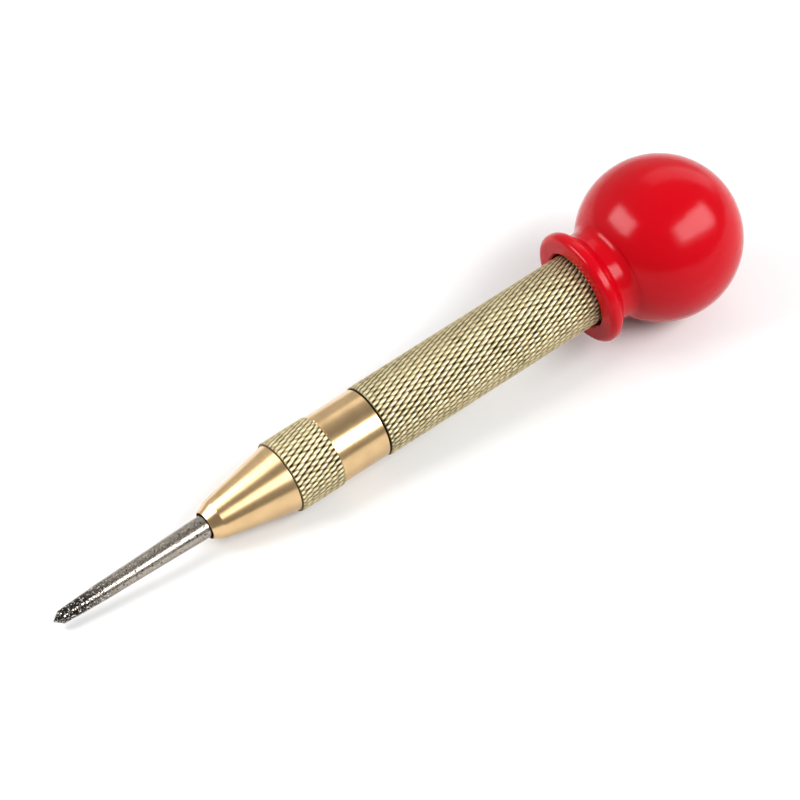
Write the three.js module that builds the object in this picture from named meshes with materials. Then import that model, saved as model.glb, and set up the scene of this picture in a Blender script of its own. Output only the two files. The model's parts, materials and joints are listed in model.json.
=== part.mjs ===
// Automatic centre punch: a spring-loaded brass punch with a red ball handle.
//
// Pressing the handle drives the punch tip back into the nose. The trip pin behind it stands askew, so
// its thin tail rests on the hammer's face and pushes the hammer back against the main spring. At the
// end of the stroke the barrel's throat has centred the pin, its tail slips into the hammer's bore, and
// the hammer flies forward on to the pin's shoulder. Turning the ball handle feeds the adjusting screw,
// which sets how hard the main spring is wound up.
//
// Millimetres, +Z up. The tool lies on the plane Z = 0, on its ball and on the front edge of its knurled
// collar, with the tip towards -X. Inside the tool every place is a distance from the point of the tip,
// measured towards the ball.

import * as THREE from "three";

// ---------------------------------------------------------------- driving dimensions

const BALL_RADIUS = 14.25;
const BALL_CENTRE = 123.4;
const GRIP_RADIUS = 6.5; // crest of the knurling on the grip and on the nose collar
const BAND_RADIUS = 6.24; // smooth band between the two knurls
const STROKE = 9; // travel of the tip and of the hammer
const SEAM = 0.3; // gap between faces that meet
const CLEARANCE = 0.25; // radial gap round everything that slides, turns or screws
const EDGE = 0.4; // chamfer on turned edges
const FINE_EDGE = 0.25;

const NOSE_FRONT = 29.65;
const COLLAR_FRONT = 44.7;
const COLLAR_REAR = 53.25;
const GRIP_FRONT = 62.5; // the nose sleeve ends here and the barrel's knurled grip begins
const BARREL_REAR = 114.6;
const SKIRT_FRONT = 105.5; // front face of the ball handle's flange

const SPIGOT_FRONT = 50; // the barrel's spigot, screwed into the nose sleeve
const SPIGOT_RADIUS = 5;
const FRONT_BORE_RADIUS = 4;
const THROAT_RADIUS = 2.6; // hole that centres the trip pin
const THROAT_REAR = 61.2; // rear face of the barrel's inner wall
const CHAMBER_RADIUS = 5; // where the hammer runs

const SHANK_RADIUS = 2; // the tip, where it runs in the nose
const SHOULDER_FRONT = 39.8; // the tip's shoulder, which keeps it in the nose
const SHOULDER_REAR = 44.2;

const PIN_PIVOT = 42; // the trip pin rocks about this point in the tip's cup
const PIN_END = THROAT_REAR;
const PIN_END_OFFSET = 1.2; // how far off the axis its tail rests
const PIN_TILT = Math.asin(PIN_END_OFFSET / (PIN_END - PIN_PIVOT));
const PIN_FLANGE_REAR = 45.6; // the return spring's front seat
const TAIL_RADIUS = 1.1;

const HAMMER_FRONT = THROAT_REAR + SEAM;
const HAMMER_REAR = 78.5;
const GUIDE_LENGTH = 3.2; // spigots that hold the main spring's ends
const GUIDE_RADIUS = 2.8;
const SCREW_FRONT = 101.5;
const SCREW_RADIUS = 5.1; // over its thread
const HEAD_FRONT = 115.8; // the screw's head, inside the ball handle
const HEAD_REAR = 122.4;
const HEAD_RADIUS = 5.8;

const ROUND_SIDES = 40;
const SMALL_SIDES = 24;
const WIRE_SIDES = 6;

// The tool rests on one flat of the ball's facets and on the lowest side of the collar's front edge. The
// ball stands prouder, so the axis climbs from the tip to the ball's centre.
const BALL_FACET = THREE.MathUtils.degToRad(8);
const SIDE_DEPTH = Math.cos(Math.PI / ROUND_SIDES); // depth of a side, as a share of the radius
const BALL_DEPTH = BALL_RADIUS * Math.cos(BALL_FACET / 2) * SIDE_DEPTH;
const COLLAR_DEPTH = GRIP_RADIUS * SIDE_DEPTH;
const REST_SPAN = BALL_CENTRE - (COLLAR_FRONT + FINE_EDGE);
const CLIMB =
  Math.asin(BALL_DEPTH / Math.hypot(REST_SPAN, COLLAR_DEPTH)) - Math.atan2(COLLAR_DEPTH, REST_SPAN);
const TIP_HEIGHT = BALL_DEPTH - BALL_CENTRE * Math.sin(CLIMB);
const FOOTPRINT = BALL_CENTRE * Math.cos(CLIMB) + BALL_RADIUS;

// ---------------------------------------------------------------- materials

function metal(color, roughness) {
  return new THREE.MeshStandardMaterial({ color, roughness, metalness: 1 });
}

const brass = metal(0xd9b870, 0.3);
const steel = metal(0xb9b4ad, 0.35);
const darkSteel = metal(0x6e6c6a, 0.4);
const springSteel = metal(0x8d8c8a, 0.3);
const redPlastic = new THREE.MeshStandardMaterial({ color: 0xc81020, roughness: 0.15, metalness: 0 });

// ---------------------------------------------------------------- building blocks

// A turned piece. Its outline is a list of [place, radius] points. A solid piece's outline runs from axis
// to axis, and a hollow one's goes back along the bore to its first point.
function turned(name, material, outline, sides = ROUND_SIDES) {
  const points = outline.map(([place, radius]) => new THREE.Vector2(radius, place));
  const halfSide = Math.PI / sides; // puts a flat side, not a corner, underneath
  const mesh = new THREE.Mesh(new THREE.LatheGeometry(points, sides, halfSide), material);
  mesh.name = name;
  return mesh;
}

// Centre line of a compression spring with one closed turn at each end. Its coil radius runs evenly from
// the front value to the rear one, which makes a slightly conical spring where the two differ.
class SpringLine extends THREE.Curve {
  constructor({ front, rear, frontRadius, rearRadius, turns, wire }) {
    super();
    const from = front + wire / 2;
    const to = rear - wire / 2;
    const closedPitch = wire * 1.12; // closed coils lie almost on each other
    Object.assign(this, { from, to, frontRadius, rearRadius, turns, closedPitch });
  }

  // Place of the wire after a number of turns.
  placeAt(turn) {
    const { from, to, turns, closedPitch } = this;
    const openPitch = (to - from - 2 * closedPitch) / (turns - 2);
    if (turn < 1) return from + closedPitch * turn;
    if (turn > turns - 1) return to - closedPitch * (turns - turn);
    return from + closedPitch + openPitch * (turn - 1);
  }

  getPoint(t, target = new THREE.Vector3()) {
    const turn = t * this.turns;
    const angle = turn * 2 * Math.PI;
    const radius = THREE.MathUtils.lerp(this.frontRadius, this.rearRadius, t);
    return target.set(radius * Math.sin(angle), this.placeAt(turn), radius * Math.cos(angle));
  }

  // Even steps of angle, so that every turn has the same number of sides.
  getPointAt(t, target) {
    return this.getPoint(t, target);
  }

  getTangentAt(t, target) {
    return this.getTangent(t, target);
  }
}

function coilSpring(name, stepsPerTurn, shape) {
  const section = new THREE.Shape().absarc(0, 0, shape.wire / 2, 0, 2 * Math.PI);
  const geometry = new THREE.ExtrudeGeometry(section, {
    steps: Math.round(shape.turns * stepsPerTurn),
    extrudePath: new SpringLine(shape),
    curveSegments: WIRE_SIDES,
    bevelEnabled: false,
  });
  const mesh = new THREE.Mesh(geometry, springSteel);
  mesh.name = name;
  return mesh;
}

// ---------------------------------------------------------------- front end

// The hardened tip: a ground point, a long taper, the shank that runs in the nose, and a shoulder that
// keeps it from falling out. The cup in its rear face holds the trip pin's foot.
function punchTip() {
  const shoulderRadius = 3.6;
  const cupRadius = 1.9;
  const cupFloor = 41.1;
  return turned(
    "punch_tip",
    steel,
    [
      [0, 0],
      [1.5, 1.2],
      [9, 1.52],
      [27, 1.93],
      [NOSE_FRONT + 1, SHANK_RADIUS],
      [SHOULDER_FRONT, SHANK_RADIUS],
      [SHOULDER_FRONT, shoulderRadius - EDGE],
      [SHOULDER_FRONT + EDGE, shoulderRadius],
      [SHOULDER_REAR - EDGE, shoulderRadius],
      [SHOULDER_REAR, shoulderRadius - EDGE],
      [SHOULDER_REAR, cupRadius],
      [cupFloor, cupRadius],
      [cupFloor, 0],
    ],
    SMALL_SIDES
  );
}

// The nose sleeve: a steep lead-in, a cone, a knurled collar and a smooth band. Its rear half is
// screwed on to the barrel's spigot.
function noseSleeve() {
  const holeRadius = SHANK_RADIUS + CLEARANCE;
  const pocketFront = SHOULDER_FRONT - SEAM;
  const socketRadius = SPIGOT_RADIUS + CLEARANCE;
  const socketFront = SPIGOT_FRONT - SEAM;
  const bandRear = GRIP_FRONT - SEAM;
  return turned("nose_sleeve", brass, [
    [NOSE_FRONT, holeRadius],
    [NOSE_FRONT, 2.7],
    [NOSE_FRONT + FINE_EDGE, 2.95],
    [31.4, 3.45],
    [COLLAR_FRONT - FINE_EDGE, 6.05],
    [COLLAR_FRONT, BAND_RADIUS],
    [COLLAR_FRONT + FINE_EDGE, GRIP_RADIUS],
    [COLLAR_REAR - FINE_EDGE, GRIP_RADIUS],
    [COLLAR_REAR, BAND_RADIUS],
    [bandRear - FINE_EDGE, BAND_RADIUS],
    [bandRear, BAND_RADIUS - FINE_EDGE],
    [bandRear, socketRadius],
    [socketFront, socketRadius],
    [socketFront, FRONT_BORE_RADIUS],
    [pocketFront, FRONT_BORE_RADIUS],
    [pocketFront, holeRadius],
    [NOSE_FRONT, holeRadius],
  ]);
}

// ---------------------------------------------------------------- barrel

// The barrel: a spigot for the nose sleeve, and the knurled grip. Inside are the front bore for the
// return spring, the tapered throat, the hammer's chamber and the thread for the adjusting screw.
function barrel() {
  const taperFront = 58.6;
  const throatFront = 60.2;
  const threadFront = SCREW_FRONT - 3;
  const threadBoreRadius = SCREW_RADIUS + CLEARANCE;
  return turned("barrel", brass, [
    [SPIGOT_FRONT, FRONT_BORE_RADIUS],
    [SPIGOT_FRONT, SPIGOT_RADIUS - EDGE],
    [SPIGOT_FRONT + EDGE, SPIGOT_RADIUS],
    [GRIP_FRONT, SPIGOT_RADIUS],
    [GRIP_FRONT, GRIP_RADIUS - EDGE],
    [GRIP_FRONT + EDGE, GRIP_RADIUS],
    [BARREL_REAR - EDGE, GRIP_RADIUS],
    [BARREL_REAR, GRIP_RADIUS - EDGE],
    [BARREL_REAR, threadBoreRadius],
    [threadFront, threadBoreRadius],
    [threadFront, CHAMBER_RADIUS],
    [THROAT_REAR, CHAMBER_RADIUS],
    [THROAT_REAR, THROAT_RADIUS],
    [throatFront, THROAT_RADIUS],
    [taperFront, FRONT_BORE_RADIUS],
    [SPIGOT_FRONT, FRONT_BORE_RADIUS],
  ]);
}

// ---------------------------------------------------------------- trip gear

// The trip pin, drawn upright and then leaned over about its pivot: a foot in the tip's cup, a flange
// for the return spring, the collar that the throat centres, a striking shoulder and the thin tail.
function tripPin() {
  const footFront = 41.4;
  const footRadius = 1.45;
  const flangeFront = 44.7;
  const flangeRadius = 3.3;
  const stemRadius = 1.7;
  const collarFront = 48.6;
  const collarRear = 51.4;
  const collarRadius = THROAT_RADIUS - CLEARANCE;
  const shoulderFront = collarRear + 0.6;
  const shoulderRear = 53;
  const upright = turned(
    "trip_pin",
    steel,
    [
      [footFront, 0],
      [footFront, footRadius - EDGE],
      [footFront + EDGE, footRadius],
      [flangeFront, footRadius],
      [flangeFront, flangeRadius],
      [PIN_FLANGE_REAR, flangeRadius],
      [PIN_FLANGE_REAR, stemRadius],
      [collarFront - EDGE, stemRadius],
      [collarFront, collarRadius],
      [collarRear, collarRadius],
      [shoulderFront, stemRadius],
      [shoulderRear, stemRadius],
      [shoulderRear, TAIL_RADIUS],
      [PIN_END, TAIL_RADIUS],
      [PIN_END, 0],
    ],
    SMALL_SIDES
  );
  upright.position.y = -PIN_PIVOT;

  const leaning = new THREE.Group();
  leaning.position.y = PIN_PIVOT;
  leaning.rotation.x = PIN_TILT;
  leaning.add(upright);
  return leaning;
}

// The return spring, between the trip pin's flange and the taper in front of the throat.
function returnSpring() {
  const flangeSway = 0.2; // how far the leaning flange's high edge stands behind its middle
  return coilSpring("return_spring", 16, {
    front: PIN_FLANGE_REAR + flangeSway + SEAM,
    rear: 58.3,
    frontRadius: 3.2,
    rearRadius: 3.6,
    turns: 6,
    wire: 0.5,
  });
}

// ---------------------------------------------------------------- hammer gear

// The hammer: a steel slug with the bore that swallows the pin's tail, and a guide for the main spring.
function hammer() {
  const radius = CHAMBER_RADIUS - SEAM;
  const boreRadius = TAIL_RADIUS + CLEARANCE;
  const boreRear = HAMMER_FRONT + STROKE + 0.6;
  const drillPoint = 0.6;
  const guideRear = HAMMER_REAR + GUIDE_LENGTH;
  return turned("hammer", darkSteel, [
    [boreRear + drillPoint, 0],
    [boreRear, boreRadius],
    [HAMMER_FRONT, boreRadius],
    [HAMMER_FRONT, radius - EDGE],
    [HAMMER_FRONT + EDGE, radius],
    [HAMMER_REAR - EDGE, radius],
    [HAMMER_REAR, radius - EDGE],
    [HAMMER_REAR, GUIDE_RADIUS],
    [guideRear - EDGE, GUIDE_RADIUS],
    [guideRear, GUIDE_RADIUS - EDGE],
    [guideRear, 0],
  ]);
}

// The main spring, between the hammer and the adjusting screw.
function mainSpring() {
  const coilRadius = 3.85;
  return coilSpring("main_spring", 18, {
    front: HAMMER_REAR + SEAM,
    rear: SCREW_FRONT - SEAM,
    frontRadius: coilRadius,
    rearRadius: coilRadius,
    turns: 7.5,
    wire: 1.3,
  });
}

// ---------------------------------------------------------------- handle

// The adjusting screw: a guide for the main spring, the length that screws into the barrel, and a
// grooved head that sits in the ball handle.
function adjustingScrew() {
  const guideFront = SCREW_FRONT - GUIDE_LENGTH;
  const grooveFront = 118.6;
  const grooveRear = 119.8;
  const grooveRadius = HEAD_RADIUS - 0.7;
  return turned("adjusting_screw", brass, [
    [guideFront, 0],
    [guideFront, GUIDE_RADIUS - EDGE],
    [guideFront + EDGE, GUIDE_RADIUS],
    [SCREW_FRONT, GUIDE_RADIUS],
    [SCREW_FRONT, SCREW_RADIUS - EDGE],
    [SCREW_FRONT + EDGE, SCREW_RADIUS],
    [HEAD_FRONT, SCREW_RADIUS],
    [HEAD_FRONT, HEAD_RADIUS],
    [grooveFront, HEAD_RADIUS],
    [grooveFront, grooveRadius],
    [grooveRear, grooveRadius],
    [grooveRear, HEAD_RADIUS],
    [HEAD_REAR, HEAD_RADIUS],
    [HEAD_REAR, 0],
  ]);
}

// The ball's round, from the neck to the pole, in whole facets either side of the one that faces down.
function ballRound() {
  const facetsToNeck = 4;
  const straightDown = Math.PI / 2 + CLIMB; // seen from the pole
  const points = [];
  for (let angle = straightDown + (facetsToNeck - 0.5) * BALL_FACET; angle > 0; angle -= BALL_FACET) {
    points.push([BALL_CENTRE + BALL_RADIUS * Math.cos(angle), BALL_RADIUS * Math.sin(angle)]);
  }
  return [...points, [BALL_CENTRE + BALL_RADIUS, 0]];
}

// The ball handle: a ball on a short neck, with a flanged skirt that covers the barrel's rear end.
function ballHandle() {
  const skirtBore = GRIP_RADIUS + 0.35;
  const skirtFloor = BARREL_REAR + 0.6;
  const bevel = 0.3;
  const pocketRadius = HEAD_RADIUS + CLEARANCE;
  const pocketFloor = HEAD_REAR + SEAM;
  const rimRadius = 10.23;
  const neckRadius = 8.2;
  return turned("ball_handle", redPlastic, [
    [SKIRT_FRONT, skirtBore + bevel],
    [SKIRT_FRONT, 9.8],
    [SKIRT_FRONT + 0.35, 10.1],
    [SKIRT_FRONT + 1, rimRadius],
    [SKIRT_FRONT + 1.9, 10.1],
    [SKIRT_FRONT + 2.9, 9.55],
    [SKIRT_FRONT + 4, 8.75],
    [SKIRT_FRONT + 4.7, 8.33],
    [SKIRT_FRONT + 5.3, neckRadius],
    ...ballRound(),
    [pocketFloor, 0],
    [pocketFloor, pocketRadius],
    [skirtFloor, pocketRadius],
    [skirtFloor, skirtBore],
    [SKIRT_FRONT + bevel, skirtBore],
    [SKIRT_FRONT, skirtBore + bevel],
  ]);
}

// ---------------------------------------------------------------- assembly

// The pieces are turned about their own Y axis, and this group lays that axis along +X.
const tool = new THREE.Group();
tool.rotation.z = -Math.PI / 2;
tool.add(
  punchTip(),
  noseSleeve(),
  barrel(),
  tripPin(),
  returnSpring(),
  hammer(),
  mainSpring(),
  adjustingScrew(),
  ballHandle()
);

// The tool's axis climbs from the tip to the ball, and the middle of its footprint is at the origin.
const part = new THREE.Group();
const lying = new THREE.Group();
lying.rotation.y = -CLIMB;
lying.position.set(-FOOTPRINT / 2, 0, TIP_HEIGHT);
lying.add(tool);
part.add(lying);

export default part;
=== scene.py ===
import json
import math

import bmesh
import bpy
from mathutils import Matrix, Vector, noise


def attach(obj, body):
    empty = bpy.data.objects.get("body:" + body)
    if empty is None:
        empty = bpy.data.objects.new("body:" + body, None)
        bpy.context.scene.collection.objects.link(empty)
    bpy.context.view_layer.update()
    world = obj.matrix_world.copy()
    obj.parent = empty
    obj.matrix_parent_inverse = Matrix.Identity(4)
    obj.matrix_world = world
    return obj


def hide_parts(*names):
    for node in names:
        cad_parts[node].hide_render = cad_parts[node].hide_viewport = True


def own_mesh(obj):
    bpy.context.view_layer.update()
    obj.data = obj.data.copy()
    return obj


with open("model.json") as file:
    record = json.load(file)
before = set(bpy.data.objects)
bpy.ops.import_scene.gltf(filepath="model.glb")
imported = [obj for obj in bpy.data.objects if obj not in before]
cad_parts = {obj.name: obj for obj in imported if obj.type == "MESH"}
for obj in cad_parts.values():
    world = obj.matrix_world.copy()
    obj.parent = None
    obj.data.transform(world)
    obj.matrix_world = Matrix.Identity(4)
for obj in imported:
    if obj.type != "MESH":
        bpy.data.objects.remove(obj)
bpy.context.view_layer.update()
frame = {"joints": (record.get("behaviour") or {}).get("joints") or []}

# Looks of the automatic centre punch. Every piece is rebuilt finely round the tool's own axis: cut
# diamond knurls, rounded edges, a real thread on the adjusting screw and springs of coiled wire. All of
# it keeps to the CAD model's box, to within 0.1 mm.
#
# Inside the tool a point is (place, side, up) in millimetres: place is measured along the axis from the
# point of the tip towards the ball, side is the row's +Y, and up is square to both.

MM = 0.001

# ---------------------------------------------------------------- the tool's own frame

JOINTS = {joint["name"]: joint for joint in frame["joints"]}
TURN_PLACE = 110  # how far behind the tip the ball handle's joint is stated

AXIS = Vector(JOINTS["cap_turn"]["axis"]).normalized()
SIDE = Vector((0, 1, 0))
UP = AXIS.cross(SIDE)
TIP = Vector(JOINTS["cap_turn"]["pos_m"]) - AXIS * TURN_PLACE * MM
PIVOT = Vector(JOINTS["trip_pin_tilt"]["pos_m"])


def in_row(place, side, up):
    """A point of the tool, in metres in the row's frame."""
    return TIP + (AXIS * place + SIDE * side + UP * up) * MM


def around(place, radius, angle):
    """The same for a point round the axis. Angles start at up and turn by the right-hand rule."""
    return in_row(place, -radius * math.sin(angle), radius * math.cos(angle))


def local(point):
    """A row point as (place, side, up) in mm."""
    from_tip = (Vector(point) - TIP) / MM
    return Vector((from_tip.dot(AXIS), from_tip.dot(SIDE), from_tip.dot(UP)))


# ---------------------------------------------------------------- driving dimensions, in mm

BALL_RADIUS = 14.25
BALL_CENTRE = 123.4
CREST = 6.5  # radius over the knurl's crests
BAND_RADIUS = 6.24
SEAM = 0.13  # visible gap between the nose sleeve and the barrel

NOSE_FRONT = 29.65
COLLAR = (44.7, 53.25)
GRIP_FRONT = 62.5
BARREL_REAR = 114.6
SKIRT_FRONT = 105.5
NECK_RADIUS = 8.3
SPIGOT_FRONT = 50
SHOULDER_FRONT = 39.8
SHOULDER_REAR = 44.2
THROAT_REAR = 61.2
HAMMER_FRONT = 61.5
HAMMER_REAR = 78.5
SCREW_FRONT = 101.5
SCREW_RADIUS = 5.1
THREAD_PITCH = 1
HEAD_FRONT = 115.8
HEAD_REAR = 122.4
HEAD_RADIUS = 5.8
PIN_PIVOT = 42
PIN_TILT = math.asin(1.2 / (THROAT_REAR - PIN_PIVOT))

FINE_SIDES = 256
SMALL_SIDES = 96
ARC_STEP = math.radians(6)
CUT_SHARP = 24  # degrees between faces that still look sharp after a cut

# ---------------------------------------------------------------- driving values of the studio

FLOOR_REACH = 1.5  # metres from the middle to each side
FLOOR_SHADE = 0.68
ROOM_DIM = 0.33
ROOM_PALE = 0.68
SOFT_EDGE = 0.22  # share of a light's side over which it fades out
LAMP_REACH = 0.9  # metres from the tool
NOSE_AIM = 38  # place on the nose sleeve that its own two lights face

CAMERA_AZIMUTH = -36.67
CAMERA_ELEVATION = 47.88
CAMERA_DISTANCE = 0.7377
CAMERA_AIM = (69.17, 0.23, 0.16)
SENSOR_WIDTH = 36
FOCAL_LENGTH = 202.5


# ---------------------------------------------------------------- building blocks


def new_piece(name, points, faces, body, *nodes, sharp=30):
    """An object from points in metres, shaded smooth except at edges sharper than the angle given."""
    mesh = bpy.data.meshes.new(name)
    mesh.from_pydata([tuple(p) for p in points], [], faces)
    tidy = bmesh.new()
    tidy.from_mesh(mesh)
    bmesh.ops.recalc_face_normals(tidy, faces=tidy.faces)
    tidy.to_mesh(mesh)
    tidy.free()
    piece = bpy.data.objects.new(name, mesh)
    bpy.context.scene.collection.objects.link(piece)
    finish_shading(piece, sharp)
    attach(piece, body)
    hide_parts(*nodes)
    return piece


def finish_shading(piece, sharp):
    """Smooth shading, with the edges sharper than the angle given kept crisp."""
    for face in piece.data.polygons:
        face.use_smooth = True
    piece.data.set_sharp_from_angle(angle=math.radians(sharp))


def rounded(outline):
    """An outline of (place, radius) points, in which a third value rounds that corner to an arc."""
    points = []
    closed = outline[0][:2] == outline[-1][:2]
    for i, corner in enumerate(outline):
        here = Vector(corner[:2])
        inner = 0 < i < len(outline) - 1
        if len(corner) < 3 or not inner:
            points.append(here)
            continue
        before = (Vector(outline[i - 1][:2]) - here).normalized()
        after = (Vector(outline[i + 1][:2]) - here).normalized()
        opening = before.angle(after)
        reach = corner[2] / math.tan(opening / 2)
        centre = here + (before + after).normalized() * (corner[2] / math.sin(opening / 2))
        start = here + before * reach - centre
        sweep = math.pi - opening
        sense = 1 if before.x * after.y - before.y * after.x < 0 else -1
        steps = max(2, math.ceil(sweep / ARC_STEP))
        for k in range(steps + 1):
            turn = Matrix.Rotation(sense * sweep * k / steps, 2)
            points.append(centre + turn @ start)
    if closed:
        points[-1] = points[0]
    return [(p.x, p.y) for p in points]


def revolved(outline, sides):
    """Points and faces of a turned solid. The outline runs from axis to axis, or closes on itself."""
    closed = outline[0] == outline[-1]
    rows = outline[:-1] if closed else outline
    points, rings = [], []
    for place, radius in rows:
        start = len(points)
        if radius < 1e-6:
            points.append(in_row(place, 0, 0))
            rings.append([start] * sides)
            continue
        for k in range(sides):
            angle = 2 * math.pi * k / sides
            points.append(around(place, radius, angle))
        rings.append(list(range(start, start + sides)))
    pairs = list(zip(rings, rings[1:] + rings[:1])) if closed else list(zip(rings, rings[1:]))
    faces = []
    for near, far in pairs:
        for k in range(sides):
            n = (k + 1) % sides
            corners = [near[k], near[n], far[n], far[k]]
            face = list(dict.fromkeys(corners))
            if len(face) > 2:
                faces.append(face)
    return points, faces


def turned(name, outline, body, node, sides=FINE_SIDES, sharp=30):
    """A piece turned from one outline."""
    points, faces = revolved(rounded(outline), sides)
    return new_piece(name, points, faces, body, node, sharp=sharp)


# ---------------------------------------------------------------- knurling

# Two families of helical grooves. They cross at a slant, so the crests are diamonds drawn out along the
# tool. Family one is cut deeper and climbs left-handed, family two is lighter and climbs right-handed.
# The mesh follows the grooves: u counts the grooves of family one and v those of family two.
GROOVES_ONE = 45
GROOVES_TWO = 42
RISE_ONE = 0.4506  # grooves crossed per mm along the axis
RISE_TWO = 0.338
DEPTH_ONE = 0.25
DEPTH_TWO = 0.13
UNEVEN = 0.3  # how much the depth of cut wanders
WORN = 0.05  # the most that wear takes off the crests
LATTICE = [k / 8 for k in range(8)]
STOCK = 7.2  # radius left uncut beyond the knurl, outside the turned envelope
RUNOUT = 0.35  # how far the knurl runs past each end of its stretch
FAR = Vector((31, 7, 3))  # a shift between noises that must not match


def groove_depth(share):
    """Depth of a groove at a share of the way to the next: a sharp bottom between rounded crests."""
    return (1 - 2 * min(share, 1 - share)) ** 2


def knurled_stock(front, rear):
    """Points and faces of a closed bar, knurled between two places and left thick beyond them."""
    count = len(LATTICE)
    spread = GROOVES_ONE * RISE_TWO + GROOVES_TWO * RISE_ONE

    def value(index):
        return index // count + LATTICE[index % count]

    def place_of(i, j):
        return (GROOVES_TWO * value(i) - GROOVES_ONE * value(j)) / spread

    def angle_of(i, j):
        return 2 * math.pi * (RISE_TWO * value(i) + RISE_ONE * value(j)) / spread

    def radius_of(i, j):
        place = place_of(i, j)
        if place < front - RUNOUT or place > rear + RUNOUT:
            return STOCK
        angle = angle_of(i, j)
        spot = Vector((place * 0.8, CREST * math.cos(angle), CREST * math.sin(angle)))
        cut_one = DEPTH_ONE * groove_depth(value(i) % 1) * (1 + UNEVEN * noise.noise(spot))
        cut_two = DEPTH_TWO * groove_depth(value(j) % 1) * (1 + 2 * UNEVEN * noise.noise(spot + FAR))
        worn = WORN * max(0, noise.noise(spot * 0.7 - FAR))
        return CREST - cut_one - cut_two - worn

    first, last = front - 1, rear + 1
    per_round = count * GROOVES_ONE
    points, index, faces = [], {}, []

    def vertex(i, j):
        turns = i // per_round
        key = (i - turns * per_round, j - turns * count * GROOVES_TWO)
        if key not in index:
            index[key] = len(points)
            radius, angle = radius_of(*key), angle_of(*key)
            points.append((place_of(*key), radius, angle))
        return index[key]

    for i in range(per_round):
        lowest = math.floor((GROOVES_TWO * value(i) - spread * last) / GROOVES_ONE) * count - count
        highest = math.ceil((GROOVES_TWO * value(i) - spread * first) / GROOVES_ONE) * count + count
        for j in range(lowest, highest):
            corners = [(i, j), (i + 1, j), (i + 1, j + 1), (i, j + 1)]
            if all(first < place_of(*c) < last for c in corners):
                faces.append([vertex(*c) for c in corners])
    return points, faces


def threaded_stock(front, rear, root):
    """Points and faces of a closed bar with a right-hand thread between two places, thick beyond."""
    rows, sides = 8, SMALL_SIDES
    crest = SCREW_RADIUS
    points, index, faces = [], {}, []

    def vertex(i, k):
        i, k = i + rows * (k // sides), k % sides
        if (i, k) not in index:
            index[i, k] = len(points)
            place = front - 2 + (i / rows + k / sides) * THREAD_PITCH
            angle = 2 * math.pi * k / sides
            flank = 1 - abs(2 * (i % rows) / rows - 1)
            radius = root + (crest - root) * min(1, max(0, 1.35 * flank - 0.1))
            points.append((place, radius if front < place < rear else STOCK, angle))
        return index[i, k]

    for i in range(round((rear - front + 3) * rows / THREAD_PITCH)):
        for k in range(sides):
            faces.append([vertex(i, k), vertex(i + 1, k), vertex(i + 1, k + 1), vertex(i, k + 1)])
    return points, faces


def closed_bar(points, faces, ends):
    """A mesh of the cut bar: its open tube, with each end carried on to a flat end of the bar."""
    bar = bmesh.new()
    made = [bar.verts.new(around(*point)) for point in points]
    for face in faces:
        bar.faces.new([made[k] for k in face])
    rims = [edge for edge in bar.edges if edge.is_boundary]
    middle = sum(ends) / 2
    for end in ends:
        rim = [e for e in rims if (local(e.verts[0].co).x < middle) == (end < middle)]
        grown = bmesh.ops.extrude_edge_only(bar, edges=rim)["geom"]
        for vert in [g for g in grown if isinstance(g, bmesh.types.BMVert)]:
            spot = local(vert.co)
            vert.co = around(end, STOCK, math.atan2(-spot.y, spot.z))
        outer = [g for g in grown if isinstance(g, bmesh.types.BMEdge)]
        bmesh.ops.contextual_create(bar, geom=outer)
    bmesh.ops.recalc_face_normals(bar, faces=bar.faces)
    mesh = bpy.data.meshes.new("bar")
    bar.to_mesh(mesh)
    bar.free()
    return mesh


def knurled(name, outline, stretch, body, node):
    """A turned piece whose outline is cut from a knurled bar."""
    places = [p[0] for p in outline]
    bar_ends = (min(places) - 1, max(places) + 1)
    points, faces = revolved(rounded(outline), FINE_SIDES)
    piece = new_piece(name, points, faces, body, node)
    cut_from(piece, closed_bar(*knurled_stock(*stretch), bar_ends))
    return piece


def cut_from(piece, bar_mesh):
    """Keeps only what lies in both the piece and the bar."""
    bar = bpy.data.objects.new("bar", bar_mesh)
    bpy.context.scene.collection.objects.link(bar)
    cut = piece.modifiers.new("cut", "BOOLEAN")
    cut.operation = "INTERSECT"
    cut.solver = "MANIFOLD"
    cut.object = bar
    bpy.context.view_layer.update()
    finished = piece.evaluated_get(bpy.context.evaluated_depsgraph_get())
    mesh = bpy.data.meshes.new_from_object(finished)
    piece.modifiers.clear()
    piece.data = mesh
    bpy.data.objects.remove(bar)
    finish_shading(piece, CUT_SHARP)


# ---------------------------------------------------------------- nose, barrel and tip


def nose_sleeve():
    hole, pocket, socket = 2.25, 4, 5.25
    envelope = CREST + 0.1
    outline = [
        (NOSE_FRONT, hole + 0.05),
        (NOSE_FRONT, 2.5, 0.12),
        (31.6, 3.45, 0.6),
        (COLLAR[0] - 0.13, 6.05),
        (COLLAR[0] - 0.06, 5.95),
        (COLLAR[0], 6.24),
        (COLLAR[0] + 0.2, envelope),
        (COLLAR[1] - 0.3, envelope),
        (COLLAR[1], BAND_RADIUS),
        (GRIP_FRONT - SEAM, BAND_RADIUS, 0.12),
        (GRIP_FRONT - SEAM, socket),
        (SPIGOT_FRONT - 0.3, socket),
        (SPIGOT_FRONT - 0.3, pocket),
        (SHOULDER_FRONT - 0.3, pocket),
        (SHOULDER_FRONT - 0.3, hole),
        (NOSE_FRONT + 0.05, hole),
        (NOSE_FRONT, hole + 0.05),
    ]
    return knurled("nose_sleeve_body", outline, COLLAR, "barrel", "nose_sleeve")


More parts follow.
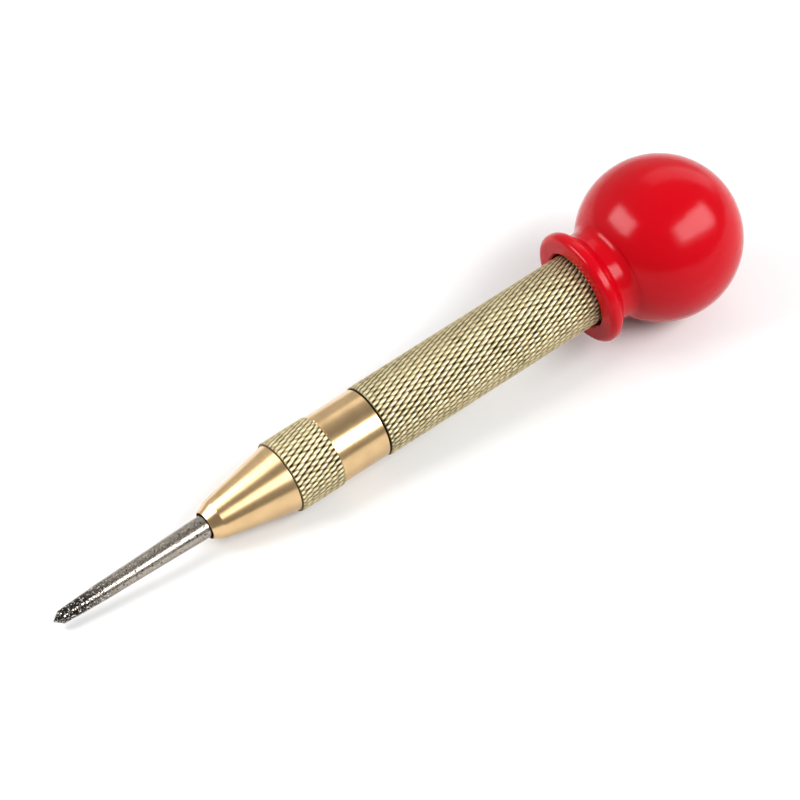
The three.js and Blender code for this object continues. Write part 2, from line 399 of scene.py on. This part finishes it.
def barrel():
    envelope = CREST + 0.1
    thread_bore, chamber, throat, front_bore = 5.35, 5, 2.6, 4
    outline = [
        (SPIGOT_FRONT, front_bore),
        (SPIGOT_FRONT, 4.6),
        (SPIGOT_FRONT + 0.4, 5),
        (GRIP_FRONT, 5),
        (GRIP_FRONT, 6.12),
        (GRIP_FRONT + 0.4, envelope),
        (BARREL_REAR - 0.5, envelope),
        (BARREL_REAR, 6.1),
        (BARREL_REAR, thread_bore),
        (SCREW_FRONT - 3, thread_bore),
        (SCREW_FRONT - 3, chamber),
        (THROAT_REAR, chamber),
        (THROAT_REAR, throat),
        (THROAT_REAR - 1, throat),
        (58.6, front_bore),
        (SPIGOT_FRONT, front_bore),
    ]
    return knurled("barrel_body", outline, (GRIP_FRONT, BARREL_REAR), "barrel", "barrel")


def punch_tip():
    outline = [
        (0.02, 0),
        (0.06, 0.07),
        (1.45, 1.16, 0.4),
        (9, 1.52),
        (27, 1.93),
        (NOSE_FRONT + 1, 2),
        (SHOULDER_FRONT, 2),
        (SHOULDER_FRONT, 3.6, 0.3),
        (SHOULDER_REAR, 3.6, 0.3),
        (SHOULDER_REAR, 1.9, 0.1),
        (41.1, 1.9, 0.3),
        (41.1, 0),
    ]
    return turned("punch_tip_body", outline, "punch", "punch_tip", SMALL_SIDES)


# ---------------------------------------------------------------- handle


def ball_handle():
    skirt_bore = CREST + 0.35
    pocket = HEAD_RADIUS + 0.25
    start = math.radians(142)
    steps = 48
    turns = [start * (1 - k / steps) for k in range(steps)]
    ball = [(BALL_CENTRE + BALL_RADIUS * math.cos(a), BALL_RADIUS * math.sin(a)) for a in turns]
    outline = [
        (SKIRT_FRONT, skirt_bore + 0.3, 0.2),
        (SKIRT_FRONT, 10.25, 1.1),
        (107.6, 10.25, 1.5),
        (109.1, NECK_RADIUS, 1.4),
        (111.85, NECK_RADIUS, 2.2),
        *ball,
        (BALL_CENTRE + BALL_RADIUS, 0),
        (HEAD_REAR + 0.3, 0),
        (HEAD_REAR + 0.3, pocket),
        (BARREL_REAR + 0.6, pocket),
        (BARREL_REAR + 0.6, skirt_bore),
        (SKIRT_FRONT + 0.3, skirt_bore),
        (SKIRT_FRONT, skirt_bore + 0.3, 0.2),
    ]
    return turned("ball_handle_body", outline, "cap", "ball_handle", FINE_SIDES, sharp=40)


# ---------------------------------------------------------------- works inside the barrel


def trip_pin():
    """Turned in line, then leaned about its pivot so that its tail stands off the axis."""
    foot, spring_seat, stem, swell, tail = 1.45, 3.3, 1.7, 2.35, 1.1
    outline = [
        (41.4, 0),
        (41.4, foot, 0.4),
        (44.7, foot, 0.15),
        (44.7, spring_seat, 0.12),
        (45.6, spring_seat, 0.12),
        (45.6, stem, 0.2),
        (48.6, stem, 0.15),
        (49, swell, 0.2),
        (50.8, swell, 0.2),
        (51.4, stem, 0.2),
        (53, stem, 0.2),
        (53, tail, 0.15),
        (THROAT_REAR, tail, 0.3),
        (THROAT_REAR, 0),
    ]
    piece = turned("trip_pin_body", outline, "trip_pin", "trip_pin", SMALL_SIDES)
    lean = Matrix.Rotation(-PIN_TILT, 4, SIDE)
    piece.data.transform(Matrix.Translation(PIVOT) @ lean @ Matrix.Translation(-PIVOT))
    return piece


def hammer():
    bore, body, guide = 1.35, 4.7, 2.8
    guide_rear = HAMMER_REAR + 3.2
    outline = [
        (71.7, 0),
        (71.1, bore),
        (HAMMER_FRONT + 0.2, bore),
        (HAMMER_FRONT, bore + 0.2),
        (HAMMER_FRONT, body, 0.4),
        (HAMMER_REAR, body, 0.4),
        (HAMMER_REAR, guide, 0.2),
        (guide_rear, guide, 0.3),
        (guide_rear, 0),
    ]
    return turned("hammer_body", outline, "hammer", "hammer", SMALL_SIDES)


def spring(name, front, rear, front_radius, rear_radius, turns, wire, body):
    """A coil of round wire that winds closer over the last of its turns at each end."""
    steps, sides = 48, 16
    closing = 0.75  # turns at each end over which the coil closes
    closest = 0.35  # share of the full climb that the end turns keep
    count = round(turns * steps)
    climb = [0]
    for k in range(1, count + 1):
        done = turns * k / count
        opened = min(1, done / closing, (turns - done) / closing)
        climb.append(climb[-1] + closest + (1 - closest) * opened)
    half = wire / 2
    points, faces = [], []
    for k, height in enumerate(climb):
        share = height / climb[-1]
        place = front + half + share * (rear - front - wire)
        radius = front_radius + (rear_radius - front_radius) * share
        angle = 2 * math.pi * turns * k / count
        for n in range(sides):
            turn = 2 * math.pi * n / sides
            points.append(around(place + half * math.cos(turn), radius + half * math.sin(turn), angle))
    for k in range(count):
        near, far = k * sides, (k + 1) * sides
        for n in range(sides):
            m = (n + 1) % sides
            faces.append([near + n, near + m, far + m, far + n])
    faces.append(list(range(sides)))
    faces.append(list(range(count * sides, (count + 1) * sides)))
    return new_piece(name + "_coil", points, faces, body, name)


def adjusting_screw():
    guide, root, head, groove = 2.8, SCREW_RADIUS - 0.5, HEAD_RADIUS, SCREW_RADIUS
    guide_front = SCREW_FRONT - 3.2
    groove_front, groove_rear = 118.6, 119.8
    outline = [
        (guide_front, 0),
        (guide_front, guide, 0.3),
        (SCREW_FRONT, guide, 0.2),
        (SCREW_FRONT, root),
        (SCREW_FRONT + 0.6, SCREW_RADIUS + 0.1),
        (HEAD_FRONT - 1, SCREW_RADIUS + 0.1),
        (HEAD_FRONT - 0.4, root),
        (HEAD_FRONT, root),
        (HEAD_FRONT, head, 0.2),
        (groove_front, head, 0.15),
        (groove_front, groove, 0.15),
        (groove_rear, groove, 0.15),
        (groove_rear, head, 0.15),
        (HEAD_REAR, head, 0.3),
        (HEAD_REAR, 0),
    ]
    points, faces = revolved(rounded(outline), SMALL_SIDES)
    piece = new_piece("adjusting_screw_body", points, faces, "cap", "adjusting_screw")
    thread = threaded_stock(SCREW_FRONT - 0.5, HEAD_FRONT - 0.5, root)
    cut_from(piece, closed_bar(*thread, (SCREW_FRONT - 5, HEAD_REAR + 2)))
    return piece


# ---------------------------------------------------------------- materials


def feed(tree, socket, given):
    """Links another node's output to a socket, or sets the socket's own value."""
    if isinstance(given, bpy.types.NodeSocket):
        tree.links.new(given, socket)
    else:
        socket.default_value = given


class Nodes:
    """A short way to write a material's nodes."""

    def __init__(self, name):
        self.material = bpy.data.materials.new(name)
        self.material.use_nodes = True
        self.tree = self.material.node_tree
        self.shader = self.tree.nodes["Principled BSDF"]

    def maths(self, operation, a, b=0.0, c=0.0, clamp=False):
        node = self.tree.nodes.new("ShaderNodeMath")
        node.operation = operation
        node.use_clamp = clamp
        for socket, given in zip(node.inputs, (a, b, c)):
            feed(self.tree, socket, given)
        return node.outputs[0]

    def vector(self, operation, a, b=(0, 0, 0)):
        node = self.tree.nodes.new("ShaderNodeVectorMath")
        node.operation = operation
        for socket, given in zip(node.inputs, (a, b)):
            feed(self.tree, socket, given)
        return node.outputs["Value"] if operation in {"DOT_PRODUCT", "LENGTH"} else node.outputs["Vector"]

    def ramp(self, value, *stops):
        """Colours or greys between (position, value) stops."""
        node = self.tree.nodes.new("ShaderNodeValToRGB")
        elements = node.color_ramp.elements
        while len(elements) < len(stops):
            elements.new(0.5)
        for element, (position, shade) in zip(elements, stops):
            element.position = position
            element.color = (shade, shade, shade, 1) if isinstance(shade, (int, float)) else (*shade, 1)
        self.tree.links.new(value, node.inputs[0])
        return node.outputs[0]

    def mix(self, share, a, b):
        """A colour between two others. Inputs 6 and 7 take the colours, and output 2 gives the result."""
        node = self.tree.nodes.new("ShaderNodeMix")
        node.data_type = "RGBA"
        feed(self.tree, node.inputs[0], share)
        for socket, given in ((node.inputs[6], a), (node.inputs[7], b)):
            feed(self.tree, socket, (*given, 1) if isinstance(given, tuple) else given)
        return node.outputs[2]

    def tool_place(self):
        """The place along the tool and the distance from its axis, both in mm, and the point in mm."""
        spot = self.tree.nodes.new("ShaderNodeTexCoord").outputs["Object"]
        scale = self.tree.nodes.new("ShaderNodeVectorMath")
        scale.operation = "SCALE"
        feed(self.tree, scale.inputs[0], self.vector("SUBTRACT", spot, tuple(TIP)))
        feed(self.tree, scale.inputs["Scale"], 1 / MM)
        point = scale.outputs["Vector"]
        place = self.vector("DOT_PRODUCT", point, tuple(AXIS))
        radius = self.vector("LENGTH", self.vector("CROSS_PRODUCT", point, tuple(AXIS)))
        return place, radius, point

    def noise(self, vector, scale, detail=3, roughness=0.5, dimensions="3D"):
        node = self.tree.nodes.new("ShaderNodeTexNoise")
        node.noise_dimensions = dimensions
        self.tree.links.new(vector, node.inputs["W" if dimensions == "1D" else "Vector"])
        node.inputs["Scale"].default_value = scale
        node.inputs["Detail"].default_value = detail
        node.inputs["Roughness"].default_value = roughness
        return node.outputs[0]

    def bump(self, height, distance, strength):
        node = self.tree.nodes.new("ShaderNodeBump")
        node.inputs["Strength"].default_value = strength
        node.inputs["Distance"].default_value = distance
        self.tree.links.new(height, node.inputs["Height"])
        return node.outputs[0]

    def link(self, socket, given):
        feed(self.tree, self.shader.inputs[socket], given)


def brass():
    """Turned brass, dull gold; paler where knurled, a painted sheen; dirt and painted shade in its
    hollows.
    """
    make = Nodes("brass")
    dirt_and_shade_span = 0.4  # mm of depth that the groove ramp covers
    knurl_floor = CREST - 0.6  # a radius below every groove, and above anything inside the tool
    grip_start = GRIP_FRONT - 0.2
    hole_shade_radius = 2.42  # radius up to which the nose's hole is painted dark as shade
    crease_place, crease_reach = COLLAR[0] - 0.06, 0.07
    place, radius, point = make.tool_place()
    patches = make.noise(point, 0.35, 3)
    rings = make.noise(place, 7, 3, 0.6, "1D")
    smooth = make.ramp(patches, (0.3, (0.60, 0.425, 0.235)), (0.7, (0.68, 0.49, 0.277)))

    # Knurled brass is painted paler as a sheen, and darker with groove depth as dirt and painted shade.
    crests = make.ramp(make.noise(point, 1.1, 3), (0.35, (0.58, 0.49, 0.30)), (0.65, (0.70, 0.62, 0.41)))
    depth = make.maths("DIVIDE", make.maths("SUBTRACT", CREST, radius), dirt_and_shade_span)
    # Darker with depth below the crests: dirt, and painted shade in the grooves.
    grooves = make.ramp(depth, (0.10, 0.0), (0.32, 0.44), (0.54, 0.70), (0.72, 1.0))

    outside = make.maths("GREATER_THAN", radius, knurl_floor)
    on_grip = make.maths("GREATER_THAN", place, grip_start)
    on_collar = make.maths("MULTIPLY", make.maths("GREATER_THAN", place, COLLAR[0]),
                           make.maths("LESS_THAN", place, COLLAR[1]))
    knurled_here = make.maths("MULTIPLY", make.maths("MAXIMUM", on_grip, on_collar), outside)
    # The nose's hole is painted dark inside: painted shade.
    hole = make.maths("MULTIPLY", make.maths("LESS_THAN", radius, hole_shade_radius),
                      make.maths("LESS_THAN", place, COLLAR[0]))
    # A painted shade ring in the crease in front of the collar.
    crease = make.maths("MULTIPLY", make.maths("COMPARE", place, crease_place, crease_reach), 0.75)
    # Grooves, the nose's hole and the crease are mixed to near-black: dirt and painted shade.
    dirt_and_shade = make.maths("MULTIPLY", grooves, knurled_here)
    dirt_and_shade = make.maths("MAXIMUM", dirt_and_shade, make.maths("MAXIMUM", hole, crease))
    tint = make.mix(knurled_here, smooth, crests)
    make.link("Base Color", make.mix(make.maths("MULTIPLY", dirt_and_shade, 0.97), tint, (0.012, 0.008, 0.004)))
    rough = make.maths("MULTIPLY_ADD", rings, 0.12, 0.16)
    rough = make.maths("MULTIPLY_ADD", knurled_here, 0.26, rough)
    make.link("Roughness", make.maths("MULTIPLY_ADD", dirt_and_shade, 0.3, rough))
    make.link("Metallic", 1.0)
    make.link("Normal", make.bump(rings, 0.000006, 0.6))
    return make.material


def steel():
    """The punch's steel: pitted and faintly grained, and ground, stained and gritty at its front."""
    make = Nodes("punch_steel")
    grit_rear, grit_fade = 13, 8  # the place where the grit ends, and the length over which it fades
    place, _, point = make.tool_place()
    grain = make.noise(point, 5, 4, 0.65)
    grit = make.noise(point, 3.1, 3, 0.6)
    pits = make.noise(point, 2.2, 2, 0.5)
    front = make.maths("DIVIDE", make.maths("SUBTRACT", grit_rear, place), grit_fade, clamp=True)
    bare = make.ramp(grain, (0.35, (0.22, 0.19, 0.16)), (0.62, (0.46, 0.42, 0.37)))
    ground = make.ramp(
        grit,
        (0.46, (0.02, 0.016, 0.013)),
        (0.56, (0.16, 0.14, 0.12)),
        (0.63, (0.95, 0.93, 0.9)),
    )
    pit = make.ramp(pits, (0.60, 0.0), (0.64, 1.0))
    tint = make.mix(front, bare, ground)
    make.link("Base Color", make.mix(make.maths("MULTIPLY", pit, 0.9), tint, (0.05, 0.045, 0.04)))
    make.link("Metallic", 1.0)
    rough = make.maths("MULTIPLY_ADD", grain, 0.16, 0.17)
    make.link("Roughness", make.maths("MULTIPLY_ADD", front, -0.07, rough))
    height = make.maths("MULTIPLY_ADD", make.maths("MULTIPLY", grit, front), 2, grain)
    make.link("Normal", make.bump(make.maths("SUBTRACT", height, pit), 0.00002, 0.6))
    return make.material


def red_plastic():
    """Moulded glossy plastic, with slight clouds in its colour and a slow ripple in its surface."""
    make = Nodes("red_plastic")
    _, _, point = make.tool_place()
    cloud = make.noise(point, 0.08, 2)
    make.link("Base Color", make.mix(cloud, (0.36, 0.001, 0.006), (0.42, 0.002, 0.010)))
    make.link("Roughness", make.maths("MULTIPLY_ADD", make.noise(point, 0.6, 3), 0.1, 0.12))
    make.link("IOR", 1.3)
    ripple = make.noise(point, 0.22, 2)
    make.link("Normal", make.bump(ripple, 0.00015, 0.5))
    return make.material


def worked_steel(name, tint, shine):
    """Plain tool steel, with a fine grain round the axis and faint stains."""
    make = Nodes(name)
    place, _, point = make.tool_place()
    rings = make.noise(place, 6, 3, 0.6, "1D")
    stains = make.noise(point, 0.5, 3)
    dull = tuple(0.6 * c for c in tint)
    make.link("Base Color", make.mix(make.ramp(stains, (0.4, 0.0), (0.7, 1.0)), tint, dull))
    make.link("Metallic", 1.0)
    make.link("Roughness", make.maths("MULTIPLY_ADD", rings, 0.15, shine))
    make.link("Normal", make.bump(rings, 0.000006, 0.5))
    return make.material


# ---------------------------------------------------------------- assembly

brass_material = brass()
spring_material = worked_steel("spring_steel", (0.52, 0.51, 0.49), 0.22)
main_spring = spring("main_spring", 78.8, 101.2, 3.85, 3.85, 7.5, 1.3, "main_spring")
return_spring = spring("return_spring", 46.1, 58.3, 3.2, 3.6, 6, 0.5, "barrel")

for piece, material, slot in (
    (nose_sleeve(), brass_material, "brass"),
    (barrel(), brass_material, "brass"),
    (adjusting_screw(), brass_material, "brass"),
    (punch_tip(), steel(), "punch_steel"),
    (trip_pin(), worked_steel("pin_steel", (0.62, 0.60, 0.58), 0.18), "pin_steel"),
    (hammer(), worked_steel("hammer_steel", (0.34, 0.33, 0.32), 0.25), "hammer_steel"),
    (main_spring, spring_material, "spring_steel"),
    (return_spring, spring_material, "spring_steel"),
    (ball_handle(), red_plastic(), "red_plastic"),
):
    piece.data.materials.clear()
    piece.data.materials.append(material)

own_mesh(main_spring)
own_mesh(return_spring)

# ---------------------------------------------------------------- floor, light and camera


def floor():
    mesh = bpy.data.meshes.new("floor")
    reach = FLOOR_REACH
    corners = [(-reach, -reach, 0), (reach, -reach, 0), (reach, reach, 0), (-reach, reach, 0)]
    mesh.from_pydata(corners, [], [(0, 1, 2, 3)])
    plane = bpy.data.objects.new("floor", mesh)
    bpy.context.scene.collection.objects.link(plane)
    make = Nodes("floor")
    make.link("Base Color", (FLOOR_SHADE, FLOOR_SHADE, FLOOR_SHADE, 1))
    make.link("Roughness", 0.9)
    make.link("Specular IOR Level", 0.0)
    mesh.materials.append(make.material)


def fade(tree, along):
    """A light's brightness across one side: full in the middle, and soft towards both edges."""
    centred = tree.nodes.new("ShaderNodeMath")
    centred.operation = "SUBTRACT"
    centred.inputs[1].default_value = 0.5
    tree.links.new(along, centred.inputs[0])
    off = tree.nodes.new("ShaderNodeMath")
    off.operation = "ABSOLUTE"
    tree.links.new(centred.outputs[0], off.inputs[0])
    glow = tree.nodes.new("ShaderNodeMapRange")
    glow.interpolation_type = "SMOOTHSTEP"
    glow.inputs["From Min"].default_value = 0.5
    glow.inputs["From Max"].default_value = 0.5 - SOFT_EDGE
    tree.links.new(off.outputs[0], glow.inputs["Value"])
    return glow.outputs[0]


def softbox(name, place, azimuth, elevation, distance, width, height, roll, radiance, only=None):
    """A soft-edged square light that faces a place on the axis, its size given in degrees from there.

    Azimuth is from +X towards +Y, and roll turns it by the right-hand rule about the way to the light.
    A list of pieces in only keeps the light off everything else, as flags round it would.
    """
    a, e = math.radians(azimuth), math.radians(elevation)
    away = Vector((math.cos(a) * math.cos(e), math.sin(a) * math.cos(e), math.sin(e)))
    light = bpy.data.lights.new(name, "AREA")
    light.shape = "RECTANGLE"
    light.size = 2 * distance * math.tan(math.radians(width / 2))
    light.size_y = 2 * distance * math.tan(math.radians(height / 2))
    light.energy = radiance * math.pi * light.size * light.size_y
    light.use_nodes = True
    tree = light.node_tree
    parts = tree.nodes.new("ShaderNodeSeparateXYZ")
    tree.links.new(tree.nodes.new("ShaderNodeNewGeometry").outputs["Parametric"], parts.inputs[0])
    both = tree.nodes.new("ShaderNodeMath")
    both.operation = "MULTIPLY"
    for k in range(2):
        tree.links.new(fade(tree, parts.outputs[k]), both.inputs[k])
    tree.links.new(both.outputs[0], tree.nodes["Emission"].inputs["Strength"])
    lamp = bpy.data.objects.new(name, light)
    lamp.location = in_row(place, 0, 0) + away * distance
    turn = Matrix.Rotation(math.radians(roll), 4, away)
    lamp.rotation_euler = (turn @ away.to_track_quat("Z", "Y").to_matrix().to_4x4()).to_euler()
    lamp.visible_camera = False
    bpy.context.scene.collection.objects.link(lamp)
    if only:
        lit = bpy.data.collections.new(name + "_lit")
        for piece in only:
            lit.objects.link(piece)
        lamp.light_linking.receiver_collection = lit


def room():
    """Dim overhead, paler towards the wall behind the tool."""
    world = bpy.data.worlds.new("room")
    world.use_nodes = True
    tree = world.node_tree
    background = tree.nodes["Background"]
    towards = tree.nodes.new("ShaderNodeTexCoord").outputs["Generated"]
    parts = tree.nodes.new("ShaderNodeSeparateXYZ")
    tree.links.new(towards, parts.inputs[0])
    shade = tree.nodes.new("ShaderNodeMapRange")
    shade.interpolation_type = "SMOOTHSTEP"
    shade.inputs["From Min"].default_value = -0.1
    shade.inputs["From Max"].default_value = 1.0
    shade.inputs["To Min"].default_value = ROOM_DIM
    shade.inputs["To Max"].default_value = ROOM_PALE
    tree.links.new(parts.outputs[1], shade.inputs["Value"])
    background.inputs["Color"].default_value = (1, 1, 1, 1)
    tree.links.new(shade.outputs[0], background.inputs["Strength"])
    bpy.context.scene.world = world


def camera():
    """Looks down on the middle of the tool from the front left, through a long lens."""
    azimuth, elevation = math.radians(CAMERA_AZIMUTH), math.radians(CAMERA_ELEVATION)
    back = Vector((
        math.sin(azimuth) * math.cos(elevation),
        -math.cos(azimuth) * math.cos(elevation),
        math.sin(elevation),
    ))
    data = bpy.data.cameras.new("camera")
    data.sensor_width = SENSOR_WIDTH
    data.lens = FOCAL_LENGTH
    data.clip_start, data.clip_end = 0.01, 10
    view = bpy.data.objects.new("camera", data)
    view.location = in_row(*CAMERA_AIM) + back * CAMERA_DISTANCE
    view.rotation_euler = back.to_track_quat("Z", "Y").to_euler()
    bpy.context.scene.collection.objects.link(view)
    bpy.context.scene.camera = view


floor()
room()
nose_end = [bpy.data.objects["nose_sleeve_body"]]

# name, place faced, azimuth, elevation, distance, width, height, roll, radiance, pieces it reaches
softbox("key", BALL_CENTRE, -56, 41, LAMP_REACH, 72, 36, -19, 7.8)
softbox("fill", BALL_CENTRE, 152, 38, 0.26, 48, 27, 19, 8.5)
softbox("wall", BALL_CENTRE, 35, 30, LAMP_REACH, 30, 80, -45, 1.1)
softbox("nose_key", NOSE_AIM, -103, 49, 0.35, 26, 34, 0, 2, nose_end)
softbox("nose_fill", NOSE_AIM, 106, 64, 0.35, 30, 40, 0, 1.7, nose_end)

camera()
bpy.context.scene.view_settings.view_transform = "Standard"
bpy.context.scene.view_settings.look = "Medium High Contrast"
